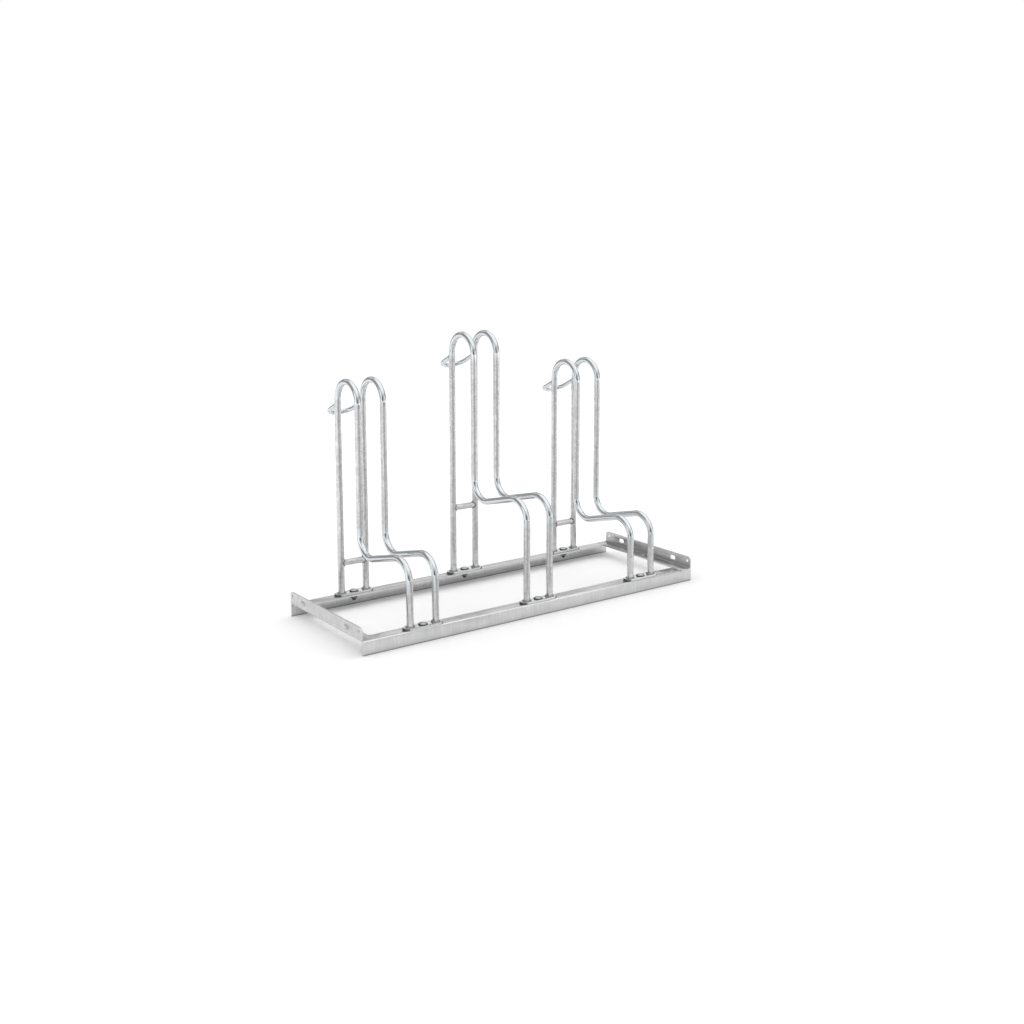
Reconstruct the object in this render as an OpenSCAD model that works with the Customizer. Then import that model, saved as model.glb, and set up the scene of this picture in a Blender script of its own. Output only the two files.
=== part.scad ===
// Floor bike rack: a frame of steel angle carries three wheel holders, the middle one set higher.
// Each holder is a pair of bent tube hoops on two foot plates, tied by a crossbar and a lock bow.
// Origin: on the floor, under the middle of everything, the lock bows at the rear included.
// X runs along the rack, a wheel rolls in from -Y, and Z is up.

/* [Frame] */
// How far the rails run on past the outer wheel places
end_margin = 175; // [140:5:250]
// Depth of the frame over the two rails
frame_depth = 370; // [340:5:480]
// Leg width of the steel angle
angle_leg = 35; // [33:1:45]
// Thickness of the steel angle
angle_wall = 4; // [3:0.25:4]
// Radius inside the angle's corner
root_radius = 3; // [2:0.5:3]
// Radius on the outside of the angle's corner
heel_radius = 5; // [2:0.5:6]
// Radius of the end rails' upper corners
end_corner_radius = 9; // [4:1:10]
// How far one end of each end rail stays back from the frame's face
end_rail_setback = 7; // [7:0.5:10]

/* [End rail holes] */
// Length of the joining slots over their round ends
slot_length = 22; // [16:1:28]
// Width of the joining slots
slot_width = 12; // [8:0.5:13]
// Distance between the centres of the two joining slots
slot_spacing = 222; // [160:2:240]
// Height of the joining slots above the outside of the corner
slot_height = 20; // [18:0.5:22]
// Diameter of the small holes near the upper corners
small_hole_d = 9; // [5:0.5:10]
// Distance of the small holes from the ends of the end rail
small_hole_inset = 12.5; // [11:0.5:20]
// Height of the small holes above the outside of the corner
small_hole_height = 23; // [20:0.5:24]
// Diameter of the floor fixing hole
floor_hole_d = 12; // [8:0.5:14]
// Distance of the floor fixing hole from the rack's end face
floor_hole_inset = 18; // [16:0.5:22]

/* [Wheel holders] */
// Distance between neighbouring wheel places
place_pitch = 350; // [300:5:420]
// Outside diameter of the hoop tube
tube_d = 17.2; // [16.4:0.4:20]
// Wall of the hoop tube
tube_wall = 2; // [1.5:0.25:3]
// Distance between the axes of a holder's two hoops
hoop_spacing = 73; // [64:1:84]
// Bend radius of the hoop tube at its axis
bend_radius = 51.5; // [46:0.5:56]
// Distance of the feet's axes from the front and rear faces
foot_inset = 16; // [16:0.25:17.5]
// Height of the outer hoops over everything
low_height = 610; // [560:5:700]
// Lift of the middle hoops above the outer ones
middle_raise = 98; // [60:2:140]
// Straight length of the tube between the top bend and the dip
hang_length = 330; // [290:5:360]
// Angle at which the step rises towards the front
step_angle = 14; // [8:1:18]

/* [Crossbars and lock bows] */
// Diameter of the crossbar
crossbar_d = 16; // [12:0.5:16.5]
// Distance of the crossbar below the centre of the dip's bend
crossbar_drop = 99.5; // [85:0.5:115]
// Diameter of the lock bow's rod
bow_d = 12; // [8:0.5:13]
// Distance of the lock bow's root below the centre of the top bend
bow_drop = 10; // [8:1:40]
// Length of the lock bow from the hoop's axis to the axis of its round end
bow_reach = 79.5; // [70:0.5:110]
// Angle at which the lock bow slopes down to the rear
bow_angle = 26.5; // [10:0.5:35]

/* [Foot plates and bolts] */
// Length of a foot plate over its round ends
plate_length = 112; // [108:1:130]
// Width of a foot plate
plate_width = 30; // [27:1:32]
// Thickness of a foot plate
plate_t = 5; // [5:0.5:8]
// Diameter of the drain hole under each tube
drain_hole_d = 8; // [4:0.5:10]
// Thread diameter of the coach bolts
bolt_d = 10; // [8:1:11]
// Length of the coach bolts under the head
bolt_length = 25; // [24:1:32]
// Diameter of the bolt heads
bolt_head_d = 24.6; // [20.6:0.5:26]
// Height of the bolt heads
bolt_head_h = 5.4; // [4.4:0.2:6]
// Outside diameter of the washers
washer_d = 18; // [16:0.5:18]
// Thickness of the washers
washer_t = 1.6; // [1.2:0.1:2.5]
// Width of the nuts across their flats
nut_width = 17; // [15:0.5:17.5]
// Height of the nuts
nut_h = 8; // [6:0.5:8]

/* [Hidden] */
// Play of a bolt's shank in the rail and the washer
bolt_clearance = 1;
// Play of a bolt's square neck in the foot plate
neck_clearance = 0.5;
// Play of a nut on its bolt
thread_clearance = 0.2;
// Gap between the end rail's end and the strip that it stops at
end_gap = 0.5;
// How much less the tube's radius is in a bend, as bending draws it in
bend_draw = 0.05;
// How far each straight of the tube laps over a bend
lap = 0.5;
// Chamfer on the nut's corners
nut_chamfer = 1;
// Chamfer on the bolt's tip
tip_chamfer = 1;
// Width of the weld that joins a rail and an end rail
weld_gap = 2;
// Width of the low crown on that weld
crown_w = 6;
// Height of that crown
crown_h = 1.2;
// Leg of the fillet weld round each tube's foot
foot_weld = 3.5;
// Radius of the weld beads round the ends of the crossbars
bar_bead = 3.2;
// Radius of the weld beads round the ends of the lock bows
bow_bead = 2.4;
// How far a cut runs past the surface that it opens
over = 1;
// Smoothness of the round shapes
$fn = 48;

// Radius of the circle whose cap has this width and height
function cap_radius(width, height) = (pow(width / 2, 2) + pow(height, 2)) / (2 * height);

rack_length = 2 * (place_pitch + end_margin);
half_length = rack_length / 2;
half_depth = frame_depth / 2;

// The lock bows reach out behind the frame, so the frame's middle lies in front of the origin
bow_overhang = bow_reach * cos(bow_angle) + bow_d / 2 - foot_inset;
frame_y = -bow_overhang / 2;
front_y = frame_y - half_depth + foot_inset;
rear_y = frame_y + half_depth - foot_inset;
drop_y = rear_y - 2 * bend_radius;
tube_r = tube_d / 2;
plate_top = angle_leg + plate_t;

// Heights on the outer holders: centre of the top bend, of the dip's bend and of the front bend
top_z = low_height - tube_r - bend_radius;
dip_z = top_z - hang_length;
step_length = (drop_y - front_y - 2 * bend_radius * (1 + sin(step_angle))) / cos(step_angle);
knee_z = dip_z - 2 * bend_radius * cos(step_angle) + step_length * sin(step_angle);
crossbar_z = dip_z - crossbar_drop;
bow_z = top_z - bow_drop;

// Middle of each wheel place, and how far its holder is lifted
place_x = [-place_pitch, 0, place_pitch];
place_raise = [0, middle_raise, 0];
foot_y = [front_y, rear_y];

// The end rails' flange lies level with the rails' flange
end_rail_z = angle_leg - angle_wall;
end_rail_length = frame_depth - end_rail_setback;
end_rail_shift = end_rail_setback / 2;
notch = angle_leg + weld_gap;
neck_length = plate_t - neck_clearance;
head_r = cap_radius(bolt_head_d, bolt_head_h);
crown_r = cap_radius(crown_w, crown_h);

steel = [0.72, 0.73, 0.74];
bright = [0.82, 0.85, 0.88];
dull = [0.62, 0.63, 0.64];

// Section of the steel angle: the corner's outside at the origin, one leg along x, one along -y
module angle_section() {
    difference() {
        union() {
            translate([0, -angle_wall]) square([angle_leg, angle_wall]);
            translate([0, -angle_leg]) square([angle_wall, angle_leg]);
            translate([angle_wall, -angle_wall - root_radius]) difference() {
                square([root_radius, root_radius]);
                translate([root_radius, 0]) circle(r = root_radius);
            }
        }
        translate([-over, -heel_radius]) difference() {
            square([heel_radius + over, heel_radius + over]);
            translate([heel_radius + over, 0]) circle(r = heel_radius);
        }
    }
}

// Round hole through a flat of the given thickness, centred in it
module round_hole(d, thickness) {
    cylinder(d = d, h = thickness + 2 * over, center = true);
}

// Rail along X: its flange is on top and points towards +Y, its leg is the front face.
// The flange is cut away for the end rails, up to a strip along the heel at the left and right
// through at the right, where the end rail rests on the leg.
module rail() {
    strip = end_rail_setback - end_gap;
    root_z = end_rail_z - root_radius;
    difference() {
        translate([-half_length, 0, angle_leg]) rotate([90, 0, 90])
            linear_extrude(rack_length) angle_section();
        translate([-half_length - over, strip, end_rail_z])
            cube([notch + over, angle_leg, angle_wall + over]);
        translate([half_length - notch, -over, end_rail_z])
            cube([notch + over, angle_leg + 2 * over, angle_wall + over]);
        for (start = [-half_length - over, half_length - notch])
            translate([start, angle_wall, root_z]) cube([notch + over, angle_leg, root_radius]);
        for (x = place_x)
            translate([x, foot_inset, angle_leg - angle_wall / 2])
                round_hole(bolt_d + bolt_clearance, angle_wall);
    }
}

module front_rail() {
    color(steel) translate([0, frame_y - half_depth, 0]) rail();
}

module rear_rail() {
    color(steel) translate([0, frame_y + half_depth, 0]) rotate([0, 0, 180]) rail();
}

// Outline of the end rail's upright leg in the YZ plane, with its two upper corners rounded
module upright_outline() {
    half = end_rail_length / 2;
    inner = half - end_corner_radius;
    translate([-half, -over]) square([2 * half, angle_leg - end_corner_radius + over]);
    translate([-inner, -over]) square([2 * inner, angle_leg + over]);
    for (side = [-1, 1])
        translate([side * inner, angle_leg - end_corner_radius]) circle(r = end_corner_radius);
}

// Slot with round ends in the YZ plane, its length along Y
module slot_outline() {
    straight = slot_length - slot_width;
    translate([-straight / 2, -slot_width / 2]) square([straight, slot_width]);
    for (side = [-1, 1]) translate([side * straight / 2, 0]) circle(d = slot_width);
}

// Stands an outline that is drawn in the YZ plane up along X
module across_x(start, depth) {
    translate([start, 0, 0]) rotate([90, 0, 90]) linear_extrude(depth) children();
}

// End rail at the left end: its leg stands up on the outside, its flange points inwards
module end_rail() {
    small_hole_y = end_rail_length / 2 - small_hole_inset;
    cut = angle_wall + 2 * over;
    difference() {
        intersection() {
            translate([0, end_rail_length / 2, 0]) rotate([90, 0, 0])
                linear_extrude(end_rail_length) mirror([0, 1]) angle_section();
            across_x(-over, angle_leg + 2 * over) upright_outline();
        }
        for (side = [-1, 1]) {
            across_x(-over, cut) translate([side * slot_spacing / 2, slot_height]) slot_outline();
            across_x(-over, cut) translate([side * small_hole_y, small_hole_height])
                circle(d = small_hole_d);
        }
        translate([floor_hole_inset, 0, angle_wall / 2]) round_hole(floor_hole_d, angle_wall);
    }
}

module left_end_rail() {
    color(steel) translate([-half_length, frame_y + end_rail_shift, end_rail_z]) end_rail();
}

module right_end_rail() {
    color(steel) translate([half_length, frame_y - end_rail_shift, end_rail_z])
        rotate([0, 0, 180]) end_rail();
}

// Weld between an end rail's flange and the rail's flange beside it, running along Y
module corner_weld(length) {
    translate([0, length, 0]) rotate([90, 0, 0]) linear_extrude(length) {
        translate([-weld_gap / 2, -angle_wall]) square([weld_gap, angle_wall]);
        intersection() {
            translate([0, crown_h - crown_r]) circle(r = crown_r);
            translate([-crown_w / 2, 0]) square([crown_w, crown_h]);
        }
    }
}

module corner_welds() {
    color(dull) translate([0, frame_y, angle_leg]) for (turn = [0, 180]) rotate([0, 0, turn])
        translate([-half_length + angle_leg + weld_gap / 2, 0, 0]) {
            translate([0, -half_depth + end_rail_setback, 0])
                corner_weld(angle_leg - end_rail_setback);
            translate([0, half_depth - angle_leg, 0]) corner_weld(angle_leg - heel_radius);
        }
}

// Foot plate: flat bar with round ends, a square hole for the bolt's neck and two drain holes
module foot_plate(place, y) {
    straight = plate_length - plate_width;
    neck_hole = bolt_d + neck_clearance;
    color(bright) translate([place_x[place], y, angle_leg]) difference() {
        union() {
            for (side = [-1, 1])
                translate([side * straight / 2, 0, 0]) cylinder(d = plate_width, h = plate_t);
            translate([-straight / 2, -plate_width / 2, 0]) cube([straight, plate_width, plate_t]);
        }
        translate([-neck_hole / 2, -neck_hole / 2, -over])
            cube([neck_hole, neck_hole, plate_t + 2 * over]);
        for (side = [-1, 1])
            translate([side * hoop_spacing / 2, 0, plate_t / 2]) round_hole(drain_hole_d, plate_t);
    }
}

// A bend of the tube in the YZ plane, from one angle through a turn about its centre
module bend(y, z, from, turn, r) {
    translate([0, y, z]) rotate([90, 0, 90]) rotate([0, 0, from])
        rotate_extrude(angle = turn, $fn = 96) translate([bend_radius, 0]) circle(r = r - bend_draw);
}

// The path of a hoop as a rod: foot, top bend, straight down, dip, rising step, knee, foot.
// past is how far it runs on beyond its feet.
module hoop_path(r, raise, past) {
    foot = plate_top - past;
    dip_y = drop_y - bend_radius;
    top = top_z + raise;
    dip = dip_z + raise;
    knee = knee_z + raise;
    translate([0, rear_y, foot]) cylinder(r = r, h = top - foot + lap);
    bend(rear_y - bend_radius, top, 0, 180, r);
    translate([0, drop_y, dip - lap]) cylinder(r = r, h = hang_length + 2 * lap);
    bend(dip_y, dip, -90 - step_angle, 90 + step_angle, r);
    translate([0, dip_y, dip]) rotate([90 - step_angle, 0, 0])
        translate([0, -bend_radius, -lap]) cylinder(r = r, h = step_length + 2 * lap);
    bend(front_y + bend_radius, knee, 90 - step_angle, 90 + step_angle, r);
    translate([0, front_y, foot]) cylinder(r = r, h = knee - foot + lap);
}

module hoop(place, side) {
    color(bright) translate([place_x[place] + side * hoop_spacing / 2, 0, 0]) difference() {
        hoop_path(tube_r, place_raise[place], 0);
        hoop_path(tube_r - tube_wall, place_raise[place], over);
    }
}

// The two rear uprights of a holder, as plain rods between two heights
module uprights(from, to) {
    for (side = [-1, 1])
        translate([side * hoop_spacing / 2, rear_y, from]) cylinder(r = tube_r, h = to - from);
}

// Crossbar: a round bar whose ends are hollowed to sit on the two rear uprights
module crossbar_at() {
    difference() {
        translate([0, rear_y, crossbar_z]) rotate([0, 90, 0])
            cylinder(d = crossbar_d, h = hoop_spacing, center = true);
        uprights(crossbar_z - crossbar_d, crossbar_z + crossbar_d);
    }
}

module crossbar(place) {
    color(steel) translate([place_x[place], 0, place_raise[place]]) crossbar_at();
}

// Lock bow: a rod bent to a U, sloping down to the rear, its ends hollowed to sit on the uprights
module bow_rod() {
    arm = bow_reach - hoop_spacing / 2;
    translate([0, rear_y, bow_z]) rotate([-bow_angle, 0, 0]) {
        for (side = [-1, 1])
            translate([side * hoop_spacing / 2, 0, 0]) rotate([-90, 0, 0]) cylinder(d = bow_d, h = arm);
        translate([0, arm, 0])
            rotate_extrude(angle = 180, $fn = 96) translate([hoop_spacing / 2, 0]) circle(d = bow_d);
    }
}

module lock_bow(place) {
    color(steel) translate([place_x[place], 0, place_raise[place]]) difference() {
        bow_rod();
        uprights(bow_z - 2 * tube_d, bow_z + 2 * tube_d);
    }
}

// Fillet weld round each tube foot
module foot_welds() {
    color(dull) for (x = place_x, y = foot_y, side = [-1, 1])
        translate([x + side * hoop_spacing / 2, y, plate_top]) rotate_extrude()
            polygon([[tube_r, 0], [tube_r + foot_weld, 0], [tube_r, foot_weld]]);
}

// Bead of weld metal round the end of each crossbar, where it meets the upright
module crossbar_welds() {
    bead_x = hoop_spacing / 2 - tube_r + 2 * bar_bead / 3;
    color(dull) for (place = [0 : len(place_x) - 1], side = [-1, 1])
        translate([place_x[place], rear_y, crossbar_z + place_raise[place]]) difference() {
            translate([side * bead_x, 0, 0]) rotate([0, 90, 0])
                rotate_extrude() translate([crossbar_d / 2, 0]) circle(r = bar_bead, $fn = 24);
            rotate([0, 90, 0]) cylinder(d = crossbar_d, h = hoop_spacing, center = true);
            translate([side * hoop_spacing / 2, 0, 0])
                cylinder(r = tube_r, h = 2 * tube_d, center = true);
        }
}

// Bead of weld metal round each root of the lock bows
module lock_bow_welds() {
    root_y = tube_r - bow_bead / 2;
    color(dull) for (place = [0 : len(place_x) - 1], side = [-1, 1])
        translate([place_x[place] + side * hoop_spacing / 2, rear_y, bow_z + place_raise[place]])
            difference() {
                translate([0, root_y, -root_y * tan(bow_angle)]) rotate([90, 0, 0])
                    rotate_extrude() translate([bow_d / 2, 0]) circle(r = bow_bead, $fn = 24);
                rotate([-90 - bow_angle, 0, 0]) cylinder(d = bow_d, h = bow_reach);
                cylinder(r = tube_r, h = 4 * tube_d, center = true);
            }
}

// Puts a part at every bolt
module at_bolts() {
    for (x = place_x, y = foot_y) translate([x, y, 0]) children();
}

// Coach bolt from above: domed head, square neck in the plate, shank and chamfered tip
module coach_bolts() {
    color(dull) at_bolts() translate([0, 0, plate_top]) {
        intersection() {
            translate([0, 0, bolt_head_h - head_r]) sphere(r = head_r, $fn = 96);
            cylinder(d = bolt_head_d + 2 * over, h = bolt_head_h + over);
        }
        translate([-bolt_d / 2, -bolt_d / 2, -neck_length]) cube([bolt_d, bolt_d, neck_length]);
        translate([0, 0, -bolt_length + tip_chamfer])
            cylinder(d = bolt_d, h = bolt_length - tip_chamfer - neck_length);
        translate([0, 0, -bolt_length])
            cylinder(d1 = bolt_d - 2 * tip_chamfer, d2 = bolt_d, h = tip_chamfer);
    }
}

module washers() {
    color(dull) at_bolts() translate([0, 0, end_rail_z - washer_t]) difference() {
        cylinder(d = washer_d, h = washer_t);
        translate([0, 0, -over]) cylinder(d = bolt_d + bolt_clearance, h = washer_t + 2 * over);
    }
}

module hex_nuts() {
    corner_d = nut_width / cos(30);
    color(dull) at_bolts() translate([0, 0, end_rail_z - washer_t - nut_h]) difference() {
        intersection() {
            cylinder(d = corner_d, h = nut_h, $fn = 6);
            union() {
                cylinder(d1 = corner_d - 2 * nut_chamfer, d2 = corner_d, h = nut_chamfer);
                translate([0, 0, nut_chamfer]) cylinder(d = corner_d, h = nut_h - nut_chamfer);
            }
        }
        translate([0, 0, -over])
            cylinder(d = bolt_d + thread_clearance, h = nut_h + 2 * over);
    }
}

front_rail();
rear_rail();
left_end_rail();
right_end_rail();
corner_welds();
foot_plate(0, front_y);  // left_front_foot_plate
foot_plate(0, rear_y);  // left_rear_foot_plate
foot_plate(1, front_y);  // middle_front_foot_plate
foot_plate(1, rear_y);  // middle_rear_foot_plate
foot_plate(2, front_y);  // right_front_foot_plate
foot_plate(2, rear_y);  // right_rear_foot_plate
hoop(0, -1);  // left_holder_left_hoop
hoop(0, 1);  // left_holder_right_hoop
hoop(1, -1);  // middle_holder_left_hoop
hoop(1, 1);  // middle_holder_right_hoop
hoop(2, -1);  // right_holder_left_hoop
hoop(2, 1);  // right_holder_right_hoop
crossbar(0);  // left_holder_crossbar
crossbar(1);  // middle_holder_crossbar
crossbar(2);  // right_holder_crossbar
lock_bow(0);  // left_holder_lock_bow
lock_bow(1);  // middle_holder_lock_bow
lock_bow(2);  // right_holder_lock_bow
foot_welds();
crossbar_welds();
lock_bow_welds();
coach_bolts();
washers();
hex_nuts();
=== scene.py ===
import math
import random

import bmesh
import bpy
from mathutils import Matrix, Vector


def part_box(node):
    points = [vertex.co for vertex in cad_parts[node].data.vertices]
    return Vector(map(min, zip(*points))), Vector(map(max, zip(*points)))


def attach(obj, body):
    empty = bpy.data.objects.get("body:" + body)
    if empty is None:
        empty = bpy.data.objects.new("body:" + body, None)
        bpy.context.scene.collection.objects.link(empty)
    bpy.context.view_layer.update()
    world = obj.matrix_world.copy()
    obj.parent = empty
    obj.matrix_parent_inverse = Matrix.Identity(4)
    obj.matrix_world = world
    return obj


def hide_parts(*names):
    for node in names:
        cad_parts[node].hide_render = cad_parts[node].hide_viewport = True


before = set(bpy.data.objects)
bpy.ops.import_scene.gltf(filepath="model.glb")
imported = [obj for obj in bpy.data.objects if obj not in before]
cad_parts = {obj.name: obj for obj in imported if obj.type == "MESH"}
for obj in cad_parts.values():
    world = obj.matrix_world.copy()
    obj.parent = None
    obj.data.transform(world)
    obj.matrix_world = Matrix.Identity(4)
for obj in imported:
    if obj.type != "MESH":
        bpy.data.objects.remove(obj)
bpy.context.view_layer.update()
scene = bpy.context.scene
mm = 0.001
nearZero = 1e-6  # points closer than this are one
smoothAngle = 38  # edges sharper than this stay sharp, in degrees
print("frame loaded:", len(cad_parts), "nodes")


# Helpers
def linear(hexText):  # sRGB hex to the linear colour that sockets take
    values = [int(hexText[i:i + 2], 16) / 255 for i in (1, 3, 5)]
    return [v / 12.92 if v <= 0.04045 else ((v + 0.055) / 1.055) ** 2.4 for v in values] + [1]


def addNode(tree, kind, settings=None, links=None):  # one node, its settings, and what feeds it
    node = tree.nodes.new("ShaderNode" + kind)
    for key, value in (settings or {}).items():
        if isinstance(key, int) or key in node.inputs:
            node.inputs[key].default_value = value
        else:
            setattr(node, key, value)
    for key, source in (links or {}).items():
        tree.links.new(source, node.inputs[key])
    return node


def newTree(material):
    material.use_nodes = True
    material.node_tree.nodes.clear()
    return material.node_tree


def newObject(bm, name, material):
    mesh = bpy.data.meshes.new(name)
    bm.to_mesh(mesh)
    bm.free()
    mesh.materials.append(material)
    made = bpy.data.objects.new(name, mesh)
    scene.collection.objects.link(made)
    return made


def finishPiece(bm, name, material, covers):
    bmesh.ops.remove_doubles(bm, verts=bm.verts, dist=nearZero)
    bmesh.ops.recalc_face_normals(bm, faces=bm.faces)
    piece = newObject(bm, name, material)
    mesh = piece.data
    mesh.polygons.foreach_set("use_smooth", [True] * len(mesh.polygons))
    mesh.set_sharp_from_angle(angle=math.radians(smoothAngle))
    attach(piece, "root")
    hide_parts(*covers)


def edgesOf(geom):
    return [part for part in geom if isinstance(part, bmesh.types.BMEdge)]


def drawOut(bm, edges, move):  # draws open edges out by a move; returns the new edges and points
    out = bmesh.ops.extrude_edge_only(bm, edges=edges)["geom"]
    verts = [part for part in out if isinstance(part, bmesh.types.BMVert)]
    bmesh.ops.translate(bm, verts=verts, vec=move)
    return edgesOf(out), verts


def turnRound(bm, profile, steps):  # turns a profile of radii and heights round the Z axis
    verts = [bm.verts.new((x, 0, z)) for x, z in profile]
    edges = [bm.edges.new(pair) for pair in zip(verts, verts[1:])]
    bmesh.ops.spin(bm, geom=verts + edges, cent=(0, 0, 0), axis=(0, 0, 1), angle=2 * math.pi,
                   steps=steps, use_merge=True)


def camel(node):  # a node's name as a piece's name
    first, *rest = node.split("_")
    return first + "".join(word.capitalize() for word in rest)


def middleOf(node):
    low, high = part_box(node)
    return (low + high) / 2


# Materials
# Hot-dip galvanised steel: a skin of zinc crystals, so the surface is metal with soft cloudy
# patches (the spangle), fine grain and faint runs from the bath. Where steel was bent or is
# smooth bar the zinc lies smoother and shines more.
zinc = {
    "railZinc": {  # hot-rolled angle: matt and cloudy, with painted shade along its lower edge at the floor
        "dark": "#C5C5C5", "light": "#D9D9D9", "rough": (0.27, 0.3), "cloud": 26, "run": (4, 90),
        "runPart": 0.55, "grain": 0.9, "bump": 0.012, "along": "Z",
        "shade": "floorEdge", "shadeColour": "#8E8E8E"},
    "endRailZinc": {  # the same angle cut short for the ends: duller, so it mirrors nothing, with painted shade in its inner corner
        "dark": "#C6C6C6", "light": "#DADADA", "rough": (0.33, 0.4), "cloud": 22, "run": (4, 60),
        "runPart": 0.5, "grain": 0.9, "bump": 0.015, "along": "Z",
        "shade": "innerCorner", "shadeColour": "#B0B0B0"},
    "plateZinc": {  # flat bar: smooth and bright, with painted shade on its round ends
        "dark": "#CACBCB", "light": "#DCDDDD", "rough": (0.11, 0.16), "cloud": 9, "run": (4, 20),
        "runPart": 0.25, "grain": 0.8, "bump": 0.03, "along": "X",
        "shade": "roundEnd", "shadeColour": "#6C6E6E"},
    "barZinc": {  # crossbars: round bar, matt and cloudy
        "dark": "#BABAB9", "light": "#D6D6D5", "rough": (0.34, 0.5), "cloud": 8, "run": (3, 24),
        "runPart": 0.3, "grain": 0.8, "bump": 0.04, "along": "X"},
    "bowZinc": {  # lock bows: thin bar, bent and smooth
        "dark": "#C2C6C8", "light": "#D4D8DA", "rough": (0.1, 0.18), "cloud": 8, "run": (3, 20),
        "runPart": 0.3, "grain": 0.8, "bump": 0.02, "along": "X"},
    "weldZinc": {  # weld beads under zinc: dull and grey
        "dark": "#727373", "light": "#A6A7A7", "rough": (0.4, 0.58), "cloud": 3, "run": (2, 4),
        "runPart": 0.3, "grain": 0.6, "bump": 0.08, "along": "Z"},
    "fastenerZinc": {  # spun zinc on bolts, washers and nuts: grey satin, with painted shade round the rim of each bolt head
        "dark": "#A6A8A8", "light": "#CACCCC", "rough": (0.08, 0.18), "cloud": 4, "run": (2, 5),
        "runPart": 0.25, "grain": 0.5, "bump": 0.03, "along": "Z",
        "shade": "headRim", "shadeColour": "#545656"},
    "nutZinc": {  # nuts and washers under the flange: painted dark, as painted shade for the shadow under the flange
        "dark": "#4C4D4D", "light": "#8A8B8C", "rough": (0.15, 0.3), "cloud": 4, "run": (2, 5),
        "runPart": 0.25, "grain": 0.5, "bump": 0.05, "along": "Z"},
}


# Painted shade: the colour is darker at the rails' lower edge along the floor, in the inner corner
# of the end rails, on the cropped round ends of the plates and on the rims of the bolts, standing
# in for the shade and dark reflections there.
paintedShades = {"floorEdge": 5 * mm, "cornerX": 521 * mm, "cornerZ": 35 * mm, "cornerPlay": -0.5 * mm,
          "cornerReach": 36 * mm, "endFrom": 0.08, "endTo": 0.45, "rimLow": 41.4 * mm,
          "rimHigh": 44.0 * mm}


def paintedShadeMask(tree, kind, place):  # 1 where the painted shade is deepest, 0 where the steel keeps its colour
    at = addNode(tree, "SeparateXYZ", None, {0: place}).outputs
    value, start, end = at["Z"], 0, paintedShades["floorEdge"]
    if kind == "headRim":
        start, end = paintedShades["rimLow"], paintedShades["rimHigh"]
    elif kind == "roundEnd":
        facing = addNode(tree, "SeparateXYZ", None,
                         {0: addNode(tree, "TexCoord").outputs["Normal"]}).outputs["X"]
        value = addNode(tree, "Math", {"operation": "ABSOLUTE"}, {0: facing}).outputs[0]
        start, end = paintedShades["endTo"], paintedShades["endFrom"]
    elif kind == "innerCorner":
        # how far from the corner along the flange and up the leg, and only on their inner faces,
        # where the painted shade lies
        x = addNode(tree, "Math", {"operation": "ABSOLUTE"}, {0: at["X"]}).outputs[0]
        x = addNode(tree, "Math", {"operation": "SUBTRACT", 0: paintedShades["cornerX"]},
                    {1: x}).outputs[0]
        z = addNode(tree, "Math", {"operation": "SUBTRACT", 1: paintedShades["cornerZ"]},
                    {0: at["Z"]}).outputs[0]
        value = addNode(tree, "Math", {"operation": "MAXIMUM"}, {0: x, 1: z}).outputs[0]
        near = addNode(tree, "Math", {"operation": "MINIMUM"}, {0: x, 1: z}).outputs[0]
        inside = addNode(tree, "Math", {"operation": "GREATER_THAN", 1: paintedShades["cornerPlay"]},
                         {0: near}).outputs[0]
        end = paintedShades["cornerReach"]
    mask = addNode(tree, "MapRange", {"interpolation_type": "SMOOTHSTEP", "From Min": start,
                                      "From Max": end, "To Min": 1, "To Max": 0},
                   {"Value": value}).outputs["Result"]
    if kind == "innerCorner":
        mask = addNode(tree, "Math", {"operation": "MULTIPLY"}, {0: mask, 1: inside}).outputs[0]
    return mask


# how much the patches, the grain and the surface's height share, and where the patches' contrast
# starts and ends
pattern = {"grainPart": 0.06, "heightGrain": 0.35, "from": 0.32, "to": 0.68, "bumpStrength": 0.5}


def zincPattern(tree, look, place, along):  # colour, roughness and height of a zinc skin
    # clouds: the soft light and dark patches, some 10 mm across
    cloud = addNode(tree, "TexNoise", {"Scale": 1 / (look["cloud"] * mm), "Detail": 3,
                                       "Roughness": 0.5}, {"Vector": place}).outputs["Fac"]
    # runs: streaks that the draining zinc leaves, narrow across and long down
    narrow, long = (1 / (size * mm) for size in look["run"])
    stretch = {"X": (long, narrow, narrow), "Z": (narrow, narrow, long)}[along]
    turned = addNode(tree, "Mapping", {"Scale": stretch}, {"Vector": place}).outputs["Vector"]
    run = addNode(tree, "TexNoise", {"Scale": 1, "Detail": 3, "Roughness": 0.55},
                  {"Vector": turned}).outputs["Fac"]
    # grain: crystals under a millimetre
    grain = addNode(tree, "TexNoise", {"Scale": 1 / (look["grain"] * mm), "Detail": 2},
                    {"Vector": place}).outputs["Fac"]
    patch = addNode(tree, "Mix", {"data_type": "FLOAT", 0: look["runPart"]},
                    {2: cloud, 3: run}).outputs[0]
    patch = addNode(tree, "Mix", {"data_type": "FLOAT", 0: pattern["grainPart"]},
                    {2: patch, 3: grain}).outputs[0]
    spread = addNode(tree, "MapRange", {"From Min": pattern["from"], "From Max": pattern["to"]},
                     {"Value": patch}).outputs["Result"]
    colour = addNode(tree, "Mix", {"data_type": "RGBA", 6: linear(look["dark"]),
                                   7: linear(look["light"])}, {0: spread}).outputs[2]
    low, high = look["rough"]
    rough = addNode(tree, "MapRange", {"From Min": 0, "From Max": 1, "To Min": high, "To Max": low},
                    {"Value": spread}).outputs["Result"]
    height = addNode(tree, "Mix", {"data_type": "FLOAT", 0: pattern["heightGrain"]},
                     {2: patch, 3: grain}).outputs[0]
    return colour, rough, height


def metalShader(tree, colour, rough, normal):
    shader = addNode(tree, "BsdfPrincipled", {"Metallic": 1.0},
                     {"Base Color": colour, "Roughness": rough, "Normal": normal})
    addNode(tree, "OutputMaterial", None, {"Surface": shader.outputs[0]})


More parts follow.
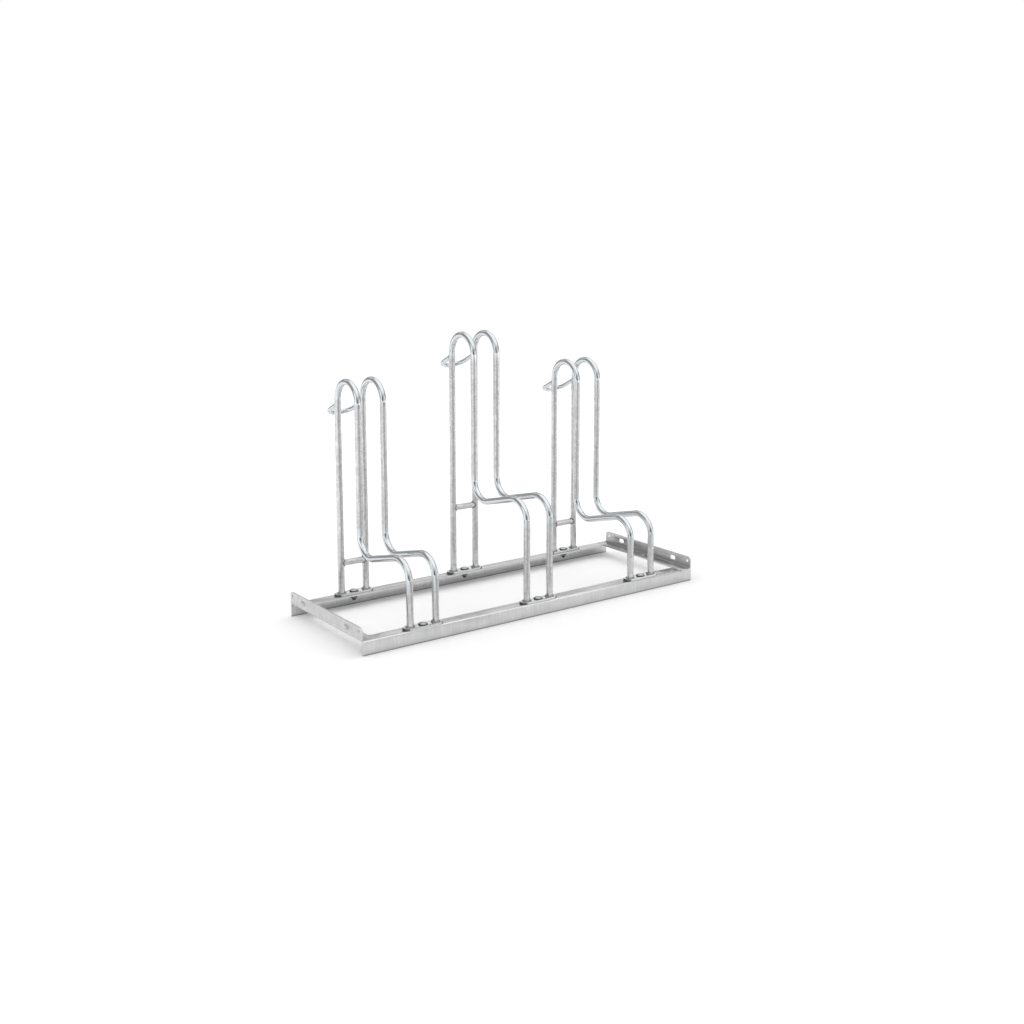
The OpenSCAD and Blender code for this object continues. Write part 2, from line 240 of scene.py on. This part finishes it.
def zincMaterial(name, look):
    material = bpy.data.materials.new(name)
    tree = newTree(material)
    place = addNode(tree, "TexCoord").outputs["Object"]
    colour, rough, height = zincPattern(tree, look, place, look["along"])
    if "shade" in look:
        colour = addNode(tree, "Mix", {"data_type": "RGBA", 7: linear(look["shadeColour"])},
                         {0: paintedShadeMask(tree, look["shade"], place), 6: colour}).outputs[2]
    bump = addNode(tree, "Bump", {"Strength": pattern["bumpStrength"],
                                  "Distance": look["bump"] * mm},
                   {"Height": height}).outputs["Normal"]
    metalShader(tree, colour, rough, bump)
    return material


finish = {name: zincMaterial(name, look) for name, look in zinc.items()}

# Drawn steel tube, bent cold and then dipped: cloudy with runs along the straights, while the bends
# are stretched smooth and shine more; the bends' bluish tint is a painted reflection of bluish
# light.
tube = {"dark": "#B6B6B6", "light": "#DADADA", "bend": "#CDD1D3", "rough": (0.2, 0.33),
        "bendRough": 0.055, "cloud": 11, "run": (4, 70),
        "runPart": 0.45, "grain": 0.8, "bump": 0.015, "bendBump": 0.12}


def tubeMaterial():
    material = bpy.data.materials.new("tubeZinc")
    tree = newTree(material)
    place = addNode(tree, "Attribute", {"attribute_name": "tubePlace"}).outputs["Vector"]
    bent = addNode(tree, "Attribute", {"attribute_name": "bent"}).outputs["Fac"]
    colour, rough, height = zincPattern(tree, tube, place, "Z")
    # the bends take the bend colour, whose bluish tint is a painted reflection
    colour = addNode(tree, "Mix", {"data_type": "RGBA", 7: linear(tube["bend"])},
                     {0: bent, 6: colour}).outputs[2]
    rough = addNode(tree, "Mix", {"data_type": "FLOAT", 3: tube["bendRough"]},
                    {0: bent, 2: rough}).outputs[0]
    depth = addNode(tree, "MapRange", {"To Min": pattern["bumpStrength"],
                                       "To Max": tube["bendBump"]},
                    {"Value": bent}).outputs["Result"]
    bump = addNode(tree, "Bump", {"Distance": tube["bump"] * mm},
                   {"Height": height, "Strength": depth}).outputs["Normal"]
    metalShader(tree, colour, rough, bump)
    return material


finish["tubeZinc"] = tubeMaterial()
print("materials made:", len(finish))

# Rails, end rails, foot plates, washers and nuts: the CAD shapes with softened edges
softEdges = {"railEdge": 0.7 * mm, "plateEdge": 0.6 * mm, "nutEdge": 0.3 * mm,
             "weldEdge": 0.2 * mm, "sharpFrom": 40, "flatWithin": 0.5, "steps": 2}


def softCopy(node, edge, material):
    bm = bmesh.new()
    bm.from_mesh(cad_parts[node].data)
    bmesh.ops.remove_doubles(bm, verts=bm.verts, dist=nearZero)
    bmesh.ops.dissolve_limit(bm, angle_limit=math.radians(softEdges["flatWithin"]),
                             verts=bm.verts, edges=bm.edges)
    limit = math.radians(softEdges["sharpFrom"])
    sharp = [e for e in bm.edges if len(e.link_faces) == 2 and e.calc_face_angle() > limit]
    bmesh.ops.bevel(bm, geom=sharp, offset=edge, offset_type="OFFSET",
                    segments=softEdges["steps"], profile=0.5, affect="EDGES",
                    clamp_overlap=True, material=-1)
    bmesh.ops.triangulate(bm, faces=[f for f in bm.faces if len(f.verts) > 4])
    finishPiece(bm, camel(node), finish[material], [node])


for node in ("front_rail", "rear_rail"):
    softCopy(node, softEdges["railEdge"], "railZinc")
for node in ("left_end_rail", "right_end_rail"):
    softCopy(node, softEdges["railEdge"], "endRailZinc")
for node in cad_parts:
    if node.endswith("foot_plate"):
        softCopy(node, softEdges["plateEdge"], "plateZinc")
for node in ("washers", "hex_nuts"):
    softCopy(node, softEdges["nutEdge"], "nutZinc")
print("rails, plates, washers and nuts made")

# Hoops: bent tube
hoop = {"radius": 8.6 * mm, "wall": 2 * mm, "bendRadius": 51.5 * mm, "stepAngle": 14,
        "hang": 330 * mm, "sides": 40, "boreSides": 16, "ring": 3 * mm, "boreRing": 10 * mm,
        "bendFade": 22 * mm, "fadeSteps": 5, "patternStep": 2.7}


def sweep(bm, moves, start, radius, sides, ring):
    # Moves a circle along straights and bends in the YZ plane, and notes on each ring how far
    # along the tube it is and how near a bend. Returns the first and the last circle's edges.
    tubePlace = bm.verts.layers.float_vector["tubePlace"]
    bent = bm.verts.layers.float["bent"]
    made = bmesh.ops.create_circle(bm, segments=sides, radius=radius)["verts"]
    first = edges = list({e for v in made for e in v.link_edges})
    for v in made:
        v[tubePlace], v[bent] = v.co.copy(), 0
    bmesh.ops.translate(bm, verts=made, vec=start)
    centre, heading, along = start.copy(), Vector((0, 0, 1)), 0
    for number, (kind, amount) in enumerate(moves):
        if kind == "bend":
            side = Matrix.Rotation(math.copysign(math.pi / 2, amount), 3, "X") @ heading
            pivot = centre + side * hoop["bendRadius"]
            length = abs(amount) * hoop["bendRadius"]
            before, inward = len(bm.verts), (centre - pivot).normalized()
            edges = edgesOf(bmesh.ops.spin(bm, geom=edges, cent=pivot, axis=(1, 0, 0),
                                           angle=amount, steps=round(length / ring),
                                           use_duplicate=False)["geom_last"])
            bm.verts.ensure_lookup_table()
            for v in bm.verts[before:]:
                arm = v.co - pivot
                arm.x = 0
                at = along + inward.angle(arm) * hoop["bendRadius"]
                v[tubePlace], v[bent] = Vector((v[tubePlace].x, v[tubePlace].y, at)), 1
            turn = Matrix.Rotation(amount, 3, "X")
            centre, heading = pivot + turn @ (centre - pivot), turn @ heading
        else:
            # a few short lengths beside each bend, where the smooth finish fades out
            length, fade = amount, hoop["bendFade"]
            count = hoop["fadeSteps"]
            shares = [fade * i / count for i in range(1, count + 1)]
            stops = sorted({*(shares if number else []), length,
                            *((length - share for share in shares) if number < len(moves) - 1
                              else [])})
            done = 0
            for stop in stops:
                edges, verts = drawOut(bm, edges, heading * (stop - done))
                done = stop
                away = min(stop if number else 1, length - stop if number < len(moves) - 1 else 1)
                share = 1 if kind == "step" else max(0.0, 1 - away / fade)
                for v in verts:
                    v[tubePlace] = Vector((v[tubePlace].x, v[tubePlace].y, along + stop))
                    v[bent] = share * share * (3 - 2 * share)
            centre = centre + heading * length
        along += length
    return first, edges


def makeHoop(node, number):
    low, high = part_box(node)
    bm = bmesh.new()
    bm.verts.layers.float_vector.new("tubePlace")
    bm.verts.layers.float.new("bent")
    r, bend, slope = hoop["radius"], hoop["bendRadius"], math.radians(hoop["stepAngle"])
    rearY, frontY = high.y - r, low.y + r
    dropY, topZ = rearY - 2 * bend, high.z - r - bend
    dipZ = topZ - hoop["hang"]
    step = (dropY - frontY - 2 * bend * (1 + math.sin(slope))) / math.cos(slope)
    kneeZ = dipZ - 2 * bend * math.cos(slope) + step * math.sin(slope)
    moves = [("straight", topZ - low.z), ("bend", math.pi), ("straight", hoop["hang"]),
             ("bend", -math.pi / 2 - slope), ("step", step), ("bend", math.pi / 2 + slope),
             ("straight", kneeZ - low.z)]
    start = Vector(((low.x + high.x) / 2, rearY, low.z))
    outer = sweep(bm, moves, start, r, hoop["sides"], hoop["ring"])
    bore = sweep(bm, moves, start, r - hoop["wall"], hoop["boreSides"], hoop["boreRing"])
    for ends in zip(outer, bore):
        bmesh.ops.bridge_loops(bm, edges=ends[0] + ends[1])
    # every tube gets its own stretch of the pattern
    tubePlace = bm.verts.layers.float_vector["tubePlace"]
    for v in bm.verts:
        v[tubePlace] = v[tubePlace] + Vector((0, 0, hoop["patternStep"] * number))
    finishPiece(bm, camel(node), finish["tubeZinc"], [node])


hoops = sorted(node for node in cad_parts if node.endswith("hoop"))
for number, node in enumerate(hoops):
    makeHoop(node, number)
print("hoops made:", len(hoops))

# Crossbars: straight round bar
crossbar = {"radius": 8 * mm, "play": 0.4 * mm, "sides": 32}


def makeCrossbar(node):
    low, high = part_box(node)
    length = high.x - low.x - crossbar["play"]
    bm = bmesh.new()
    bmesh.ops.create_cone(bm, cap_ends=True, segments=crossbar["sides"],
                          radius1=crossbar["radius"], radius2=crossbar["radius"], depth=length)
    bmesh.ops.rotate(bm, verts=bm.verts, matrix=Matrix.Rotation(math.pi / 2, 4, "Y"))
    bmesh.ops.translate(bm, verts=bm.verts, vec=middleOf(node))
    finishPiece(bm, camel(node), finish["barZinc"], [node])


# Lock bows: round bar bent to a U that slopes down to the rear
lockBow = {"radius": 6 * mm, "turn": 36.5 * mm, "reach": 79.5 * mm, "slope": 26.5,
           "drop": 10 * mm, "sunk": 1.2 * mm, "sides": 32, "turnSteps": 40}


def bowHeight(holder):  # height of the lock bow's root, a little below the top bend's centre
    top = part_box(holder + "_left_hoop")[1].z
    return top - hoop["radius"] - hoop["bendRadius"] - lockBow["drop"]


def makeLockBow(node):
    low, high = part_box(node)
    holder = node.rsplit("_lock_bow", 1)[0]
    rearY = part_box(holder + "_left_hoop")[1].y - hoop["radius"]
    turn, radius = lockBow["turn"], lockBow["radius"]
    begin = hoop["radius"] - lockBow["sunk"]
    arm = lockBow["reach"] - turn
    bm = bmesh.new()
    made = bmesh.ops.create_circle(bm, segments=lockBow["sides"], radius=radius, cap_ends=True,
                                   matrix=Matrix.Rotation(math.pi / 2, 4, "X"))
    edges = list({e for v in made["verts"] for e in v.link_edges})
    bmesh.ops.translate(bm, verts=bm.verts, vec=(turn, begin, 0))
    for half in range(2):
        edges = drawOut(bm, edges, (0, (arm - begin) / 2, 0))[0]
    edges = edgesOf(bmesh.ops.spin(bm, geom=edges, cent=(0, arm, 0), axis=(0, 0, 1), angle=math.pi,
                                   steps=lockBow["turnSteps"], use_duplicate=False)["geom_last"])
    for half in range(2):
        edges = drawOut(bm, edges, (0, -(arm - begin) / 2, 0))[0]
    bmesh.ops.edgeloop_fill(bm, edges=edges)
    bmesh.ops.rotate(bm, verts=bm.verts,
                     matrix=Matrix.Rotation(-math.radians(lockBow["slope"]), 4, "X"))
    bmesh.ops.translate(bm, verts=bm.verts, vec=((low.x + high.x) / 2, rearY, bowHeight(holder)))
    finishPiece(bm, camel(node), finish["bowZinc"], [node])


holders = ("left_holder", "middle_holder", "right_holder")
for holder in holders:
    makeCrossbar(holder + "_crossbar")
    makeLockBow(holder + "_lock_bow")
print("crossbars and lock bows made")

# Weld beads
bead = {"footLeg": 3.5 * mm, "barBead": 2.4 * mm, "bowBead": 2.0 * mm, "ripples": 15,
        "rippleHeight": 0.22 * mm, "rippleFrom": 0.1, "rippleTo": 0.95, "steps": 90,
        "sunk": 0.5 * mm, "profile": ((0.25, 0.78), (0.55, 0.5), (0.85, 0.2)),
        "saddleSides": 12, "saddleSteps": 72, "saddleRipples": 12, "saddleDepth": 0.14,
        "slant": 0.5, "seed": 11, "fullTurn": 6.28}
chance = random.Random(bead["seed"])


def ripple(angle, phase, count):  # height of the bead's ripples at this angle, 0 to 1
    return abs(math.sin((angle + phase) * count / 2))


def footWeld(bm, centre):
    r, leg, phase = hoop["radius"], bead["footLeg"], chance.uniform(0, bead["fullTurn"])
    before = set(bm.verts)
    profile = [(r - bead["sunk"], 0), (r - bead["sunk"], leg),
               *((r + out * leg, up * leg) for out, up in bead["profile"]), (r + leg, 0)]
    turnRound(bm, profile, bead["steps"])
    new = [v for v in bm.verts if v not in before]
    for v in new:
        out = Vector((v.co.x, v.co.y, 0))
        part = (out.length - r) / leg
        if bead["rippleFrom"] < part < bead["rippleTo"]:
            angle, start = math.atan2(v.co.y, v.co.x), phase + part * bead["slant"]
            lift = ripple(angle, start, bead["ripples"]) * bead["rippleHeight"]
            v.co += (out.normalized() + Vector((0, 0, 1))) * lift
    bmesh.ops.translate(bm, verts=new, vec=centre)


def saddleWeld(bm, place, rodRadius, beadRadius, slope):
    # A ring of bead round a bar's end, bent to the seam on the upright. It's made with the bar
    # along Z, and place turns it to where it belongs.
    phase = chance.uniform(0, bead["fullTurn"])
    before = set(bm.verts)
    made = bmesh.ops.create_circle(bm, segments=bead["saddleSides"], radius=beadRadius,
                                   matrix=Matrix.Rotation(math.pi / 2, 4, "X"))
    bmesh.ops.translate(bm, verts=made["verts"], vec=(rodRadius, 0, 0))
    edges = list({e for v in made["verts"] for e in v.link_edges})
    bmesh.ops.spin(bm, geom=edges, cent=(0, 0, 0), axis=(0, 0, 1), angle=2 * math.pi,
                   steps=bead["saddleSteps"], use_merge=True)
    new = [v for v in bm.verts if v not in before]
    sine, cosine = math.sin(slope), math.cos(slope)
    for v in new:
        angle = math.atan2(v.co.y, v.co.x)
        u, w = rodRadius * math.cos(angle), rodRadius * math.sin(angle)
        core = Vector((u, w, 0))
        size = 1 - bead["saddleDepth"] * ripple(angle, phase, bead["saddleRipples"])
        v.co = core + (v.co - core) * size
        v.co.z += (math.sqrt(hoop["radius"] ** 2 - u * u) - w * sine) / cosine
    bmesh.ops.transform(bm, verts=new, matrix=place)


footBm = bmesh.new()
barBm = bmesh.new()
bowBm = bmesh.new()
for holder in holders:
    barMiddle = middleOf(holder + "_crossbar")
    for side, name in ((-1, "_left_hoop"), (1, "_right_hoop")):
        low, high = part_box(holder + name)
        x, rearY, frontY = (low.x + high.x) / 2, high.y - hoop["radius"], low.y + hoop["radius"]
        for y in (frontY, rearY):
            footWeld(footBm, Vector((x, y, low.z)))
        # the bar's axis points from the upright towards the middle of the holder
        axis = Vector((-side, 0, 0))
        basis = Matrix((Vector((0, 1, 0)), Vector((0, 0, 1)), axis)).transposed().to_4x4()
        saddleWeld(barBm, Matrix.Translation((x, barMiddle.y, barMiddle.z)) @ basis,
                   crossbar["radius"], bead["barBead"], 0)
        slope = math.radians(lockBow["slope"])
        axis = Vector((0, math.cos(slope), -math.sin(slope)))
        basis = Matrix((Vector((1, 0, 0)), Vector((0, math.sin(slope), math.cos(slope))),
                        axis)).transposed().to_4x4()
        saddleWeld(bowBm, Matrix.Translation((x, rearY, bowHeight(holder))) @ basis,
                   lockBow["radius"], bead["bowBead"], slope)
finishPiece(footBm, "footWelds", finish["weldZinc"], ["foot_welds"])
finishPiece(barBm, "crossbarWelds", finish["weldZinc"], ["crossbar_welds"])
finishPiece(bowBm, "lockBowWelds", finish["weldZinc"], ["lock_bow_welds"])
softCopy("corner_welds", softEdges["weldEdge"], "railZinc")
print("welds made")

# Coach bolts
bolt = {"headRadius": 12.3 * mm, "headHeight": 5.36 * mm, "roundness": 2.2, "headRings": 16,
        "headSteps": 64, "undercut": 0.3 * mm, "lift": 0.02 * mm, "neck": 10 * mm,
        "neckLength": 4.5 * mm, "shankRadius": 4.2 * mm, "tip": 0.6 * mm, "length": 25 * mm,
        "threadRadius": 5 * mm, "threadStart": 0.7 * mm, "threadSunk": 0.2 * mm,
        "crestStart": 0.62 * mm, "crestEnd": 0.8 * mm, "ridgeWidth": 1.42 * mm,
        "pitch": 1.5 * mm, "turns": 12, "steps": 32}


def makeBolt(bm, centre):
    before = set(bm.verts)
    # head: a low dome that is flat on top and steep at its rim
    width, height, power = bolt["headRadius"], bolt["headHeight"], bolt["roundness"]
    profile = [(0, height)]
    for i in range(1, bolt["headRings"] + 1):
        share = math.sin(math.pi / 2 * i / bolt["headRings"])
        profile.append((width * share, height * (1 - share ** power) ** (1 / power)))
    profile += [(width - bolt["undercut"], 0), (0, 0)]
    turnRound(bm, [(x, z + bolt["lift"]) for x, z in profile], bolt["headSteps"])
    # square neck in the plate
    made = bmesh.ops.create_cube(bm, size=1)
    bmesh.ops.scale(bm, verts=made["verts"], vec=(bolt["neck"], bolt["neck"], bolt["neckLength"]))
    bmesh.ops.translate(bm, verts=made["verts"], vec=(0, 0, -bolt["neckLength"] / 2))
    # shank with a chamfered tip, and the thread's ridge wound round it
    length, core, tip = bolt["length"], bolt["shankRadius"], bolt["tip"]
    profile = [(0, -bolt["neckLength"]), (core, -bolt["neckLength"]), (core, -length + tip),
               (core - tip, -length), (0, -length)]
    turnRound(bm, profile, bolt["steps"])
    low, ridge = -length + bolt["threadStart"], bolt["threadRadius"]
    root = core - bolt["threadSunk"]
    profile = [(root, low), (ridge, low + bolt["crestStart"]), (ridge, low + bolt["crestEnd"]),
               (root, low + bolt["ridgeWidth"])]
    verts = [bm.verts.new((x, 0, z)) for x, z in profile]
    edges = [bm.edges.new(pair) for pair in zip(verts, verts[1:] + verts[:1])]
    count = bolt["turns"] * bolt["steps"]
    out = bmesh.ops.spin(bm, geom=verts + edges, cent=(0, 0, 0), axis=(0, 0, 1),
                         angle=2 * math.pi * bolt["turns"], steps=count,
                         dvec=(0, 0, bolt["pitch"] / bolt["steps"]))["geom_last"]
    bmesh.ops.edgeloop_fill(bm, edges=edges)
    bmesh.ops.edgeloop_fill(bm, edges=edgesOf(out))
    new = [v for v in bm.verts if v not in before]
    bmesh.ops.translate(bm, verts=new, vec=centre)


boltBm = bmesh.new()
for node in sorted(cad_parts):
    if node.endswith("foot_plate"):
        low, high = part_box(node)
        makeBolt(boltBm, Vector(((low.x + high.x) / 2, (low.y + high.y) / 2, high.z)))
finishPiece(boltBm, "coachBolts", finish["fastenerZinc"], ["coach_bolts"])
print("bolts made")

# Floor, world, lamps and camera
view = {"at": (-1.9771, -2.7932, 1.0610), "azimuth": 36.137, "down": 9.214, "lens": 46.19,
        "sensor": 36, "shiftY": -0.10}
cards = {
    "greySheet": {"width": 4, "length": 4, "beside": 0, "from": 0.3, "up": 3 * mm,
                  "colour": "#EEEEEE"},
    "darkStrip": {"width": 0.45, "length": 3.6, "beside": 0, "from": 0.4, "up": 5 * mm,
                  "colour": "#CACACA"},
}
# the paper floor glows a little to the lens and to metal, more so far away, as a backdrop does
studio = {"floorSize": 60, "floorDown": -0.1 * mm, "floorColour": "#F8F8F8", "glowFrom": 0.7,
          "glowTo": 2.5, "nearGlow": 0.08, "farGlow": 0.6, "fillLevel": 0.47, "wallLevel": 0.42,
          "aimHeight": 0.25}


def makeFloor():
    bm = bmesh.new()
    bmesh.ops.create_grid(bm, x_segments=1, y_segments=1, size=studio["floorSize"] / 2)
    bmesh.ops.translate(bm, verts=bm.verts, vec=(0, 0, studio["floorDown"]))
    material = bpy.data.materials.new("whitePaper")
    tree = newTree(material)
    path = addNode(tree, "LightPath").outputs
    seen = addNode(tree, "Math", {"operation": "MAXIMUM"},
                   {0: path["Is Camera Ray"], 1: path["Is Glossy Ray"]}).outputs[0]
    seen = addNode(tree, "Math", {"operation": "MAXIMUM"},
                   {0: seen, 1: path["Is Transmission Ray"]}).outputs[0]
    place = addNode(tree, "TexCoord").outputs["Object"]
    away = addNode(tree, "VectorMath", {"operation": "LENGTH"}, {0: place}).outputs["Value"]
    glow = addNode(tree, "MapRange", {"From Min": studio["glowFrom"], "From Max": studio["glowTo"],
                                      "To Min": studio["nearGlow"], "To Max": studio["farGlow"]},
                   {"Value": away}).outputs["Result"]
    strength = addNode(tree, "Math", {"operation": "MULTIPLY"}, {0: glow, 1: seen}).outputs[0]
    paper = addNode(tree, "BsdfDiffuse", {"Color": linear(studio["floorColour"])})
    light = addNode(tree, "Emission", {"Color": (1, 1, 1, 1)}, {"Strength": strength})
    both = addNode(tree, "AddShader", None, {0: paper.outputs[0], 1: light.outputs[0]})
    addNode(tree, "OutputMaterial", None, {"Surface": both.outputs[0]})
    newObject(bm, "floor", material)


def makeCard(name, card):
    # a sheet of grey card on the floor in front of the rack, to the right of the lens. It's seen
    # in metal only, and makes the right halves of the upright tubes a little darker.
    bm = bmesh.new()
    bmesh.ops.create_grid(bm, x_segments=1, y_segments=1, size=0.5)
    bmesh.ops.scale(bm, verts=bm.verts, vec=(card["width"], card["length"], 1))
    bmesh.ops.translate(bm, verts=bm.verts, vec=(card["width"] / 2 + card["beside"],
                                                 -card["from"] - card["length"] / 2, card["up"]))
    turn = Matrix.Rotation(-math.radians(view["azimuth"]), 3, "Z")
    bmesh.ops.rotate(bm, verts=bm.verts, matrix=turn)
    material = bpy.data.materials.new(name + "Paper")
    tree = newTree(material)
    paper = addNode(tree, "BsdfDiffuse", {"Color": linear(card["colour"])})
    addNode(tree, "OutputMaterial", None, {"Surface": paper.outputs[0]})
    piece = newObject(bm, name, material)
    piece.visible_camera = piece.visible_diffuse = piece.visible_shadow = False


# What metal sees in place of the plain studio: grey walls, light ones behind the lens with a dark
# gap in their middle, a ceiling that is lighter on the right, a window at the left and the white
# backdrop. Azimuths are from the lens's heading and heights from the horizon, in degrees, and each
# part fades in over the cosine of the angle from its middle.
metalSees = {
    "lensWalls": {"level": 0.75, "azimuth": 180, "height": 5, "from": 0.3, "to": 0.8},
    "lensGap": {"level": 0.03, "azimuth": 180, "height": 8, "from": 0.945, "to": 0.985},
    "ceiling": {"level": 1.4, "azimuth": 90, "height": 76, "from": 0.45, "to": 0.85},
    "window": {"level": 0.95, "azimuth": -48, "height": 34, "from": 0.965, "to": 0.99},
    "backdrop": {"level": 1.0, "azimuth": 5, "height": 2, "from": 0.87, "to": 0.95},
}


def makeWorld():
    world = bpy.data.worlds.new("studio")
    scene.world = world
    tree = newTree(world)
    path = addNode(tree, "LightPath").outputs
    way = addNode(tree, "TexCoord").outputs["Generated"]
    gloss = None
    for sight in metalSees.values():
        turn, up = math.radians(view["azimuth"] + sight["azimuth"]), math.radians(sight["height"])
        middle = (math.sin(turn) * math.cos(up), math.cos(turn) * math.cos(up), math.sin(up))
        near = addNode(tree, "VectorMath", {"operation": "DOT_PRODUCT", 1: middle},
                       {0: way}).outputs["Value"]
        share = addNode(tree, "MapRange", {"interpolation_type": "SMOOTHSTEP",
                                           "From Min": sight["from"], "From Max": sight["to"]},
                        {"Value": near}).outputs["Result"]
        blend = addNode(tree, "Mix", {"data_type": "FLOAT", 2: studio["wallLevel"],
                                      3: sight["level"]}, {0: share})
        if gloss:
            tree.links.new(gloss, blend.inputs[2])
        gloss = blend.outputs[0]
    level = addNode(tree, "Mix", {"data_type": "FLOAT", 2: studio["fillLevel"]},
                    {0: path["Is Glossy Ray"], 3: gloss}).outputs[0]
    seen = addNode(tree, "Math", {"operation": "MAXIMUM"},
                   {0: path["Is Camera Ray"], 1: path["Is Transmission Ray"]}).outputs[0]
    # the lens sees white
    level = addNode(tree, "Mix", {"data_type": "FLOAT", 3: 1.0}, {0: seen, 2: level}).outputs[0]
    sky = addNode(tree, "Background", {"Color": (1, 1, 1, 1)}, {"Strength": level})
    addNode(tree, "OutputWorld", None, {"Surface": sky.outputs[0]})


# the big boxes light the floor and don't show in metal, which has its ceiling in the world
lamps = {
    "topBox": {"at": (0.1, 0.6, 2.4), "size": (3.6, 3.0), "watts": 35, "inMetal": False},
    "leftTop": {"at": (-2.0, 0.4, 2.0), "size": (2.2, 1.8), "watts": 13, "inMetal": False},
    "rightTop": {"at": (2.0, -0.5, 2.0), "size": (2.2, 1.8), "watts": 13, "inMetal": False},
    "leftBox": {"at": (-2.8, -0.2, 1.0), "size": (1.4, 1.6), "watts": 6, "inMetal": True},
    "rightBox": {"at": (1.9, -2.3, 0.8), "size": (1.6, 1.4), "watts": 7, "inMetal": True},
}


def makeLamp(name, lamp):
    light = bpy.data.lights.new(name, "AREA")
    light.shape = "RECTANGLE"
    light.size, light.size_y = lamp["size"]
    light.energy = lamp["watts"]
    holder = bpy.data.objects.new(name, light)
    holder.location = lamp["at"]
    holder.rotation_mode = "QUATERNION"
    aim = Vector(lamp["at"]) - Vector((0, 0, studio["aimHeight"]))
    holder.rotation_quaternion = aim.to_track_quat("Z", "Y")
    holder.visible_glossy = lamp["inMetal"]
    scene.collection.objects.link(holder)


def makeCamera():
    data = bpy.data.cameras.new("camera")
    data.lens = view["lens"]
    data.sensor_width = view["sensor"]
    data.shift_y = view["shiftY"]
    camera = bpy.data.objects.new("camera", data)
    camera.location = view["at"]
    camera.rotation_euler = (math.radians(90 - view["down"]), 0, -math.radians(view["azimuth"]))
    scene.collection.objects.link(camera)
    scene.camera = camera


makeFloor()
for name, card in cards.items():
    makeCard(name, card)
makeWorld()
for name, lamp in lamps.items():
    makeLamp(name, lamp)
makeCamera()
scene.view_settings.view_transform = "Standard"
print("studio made")
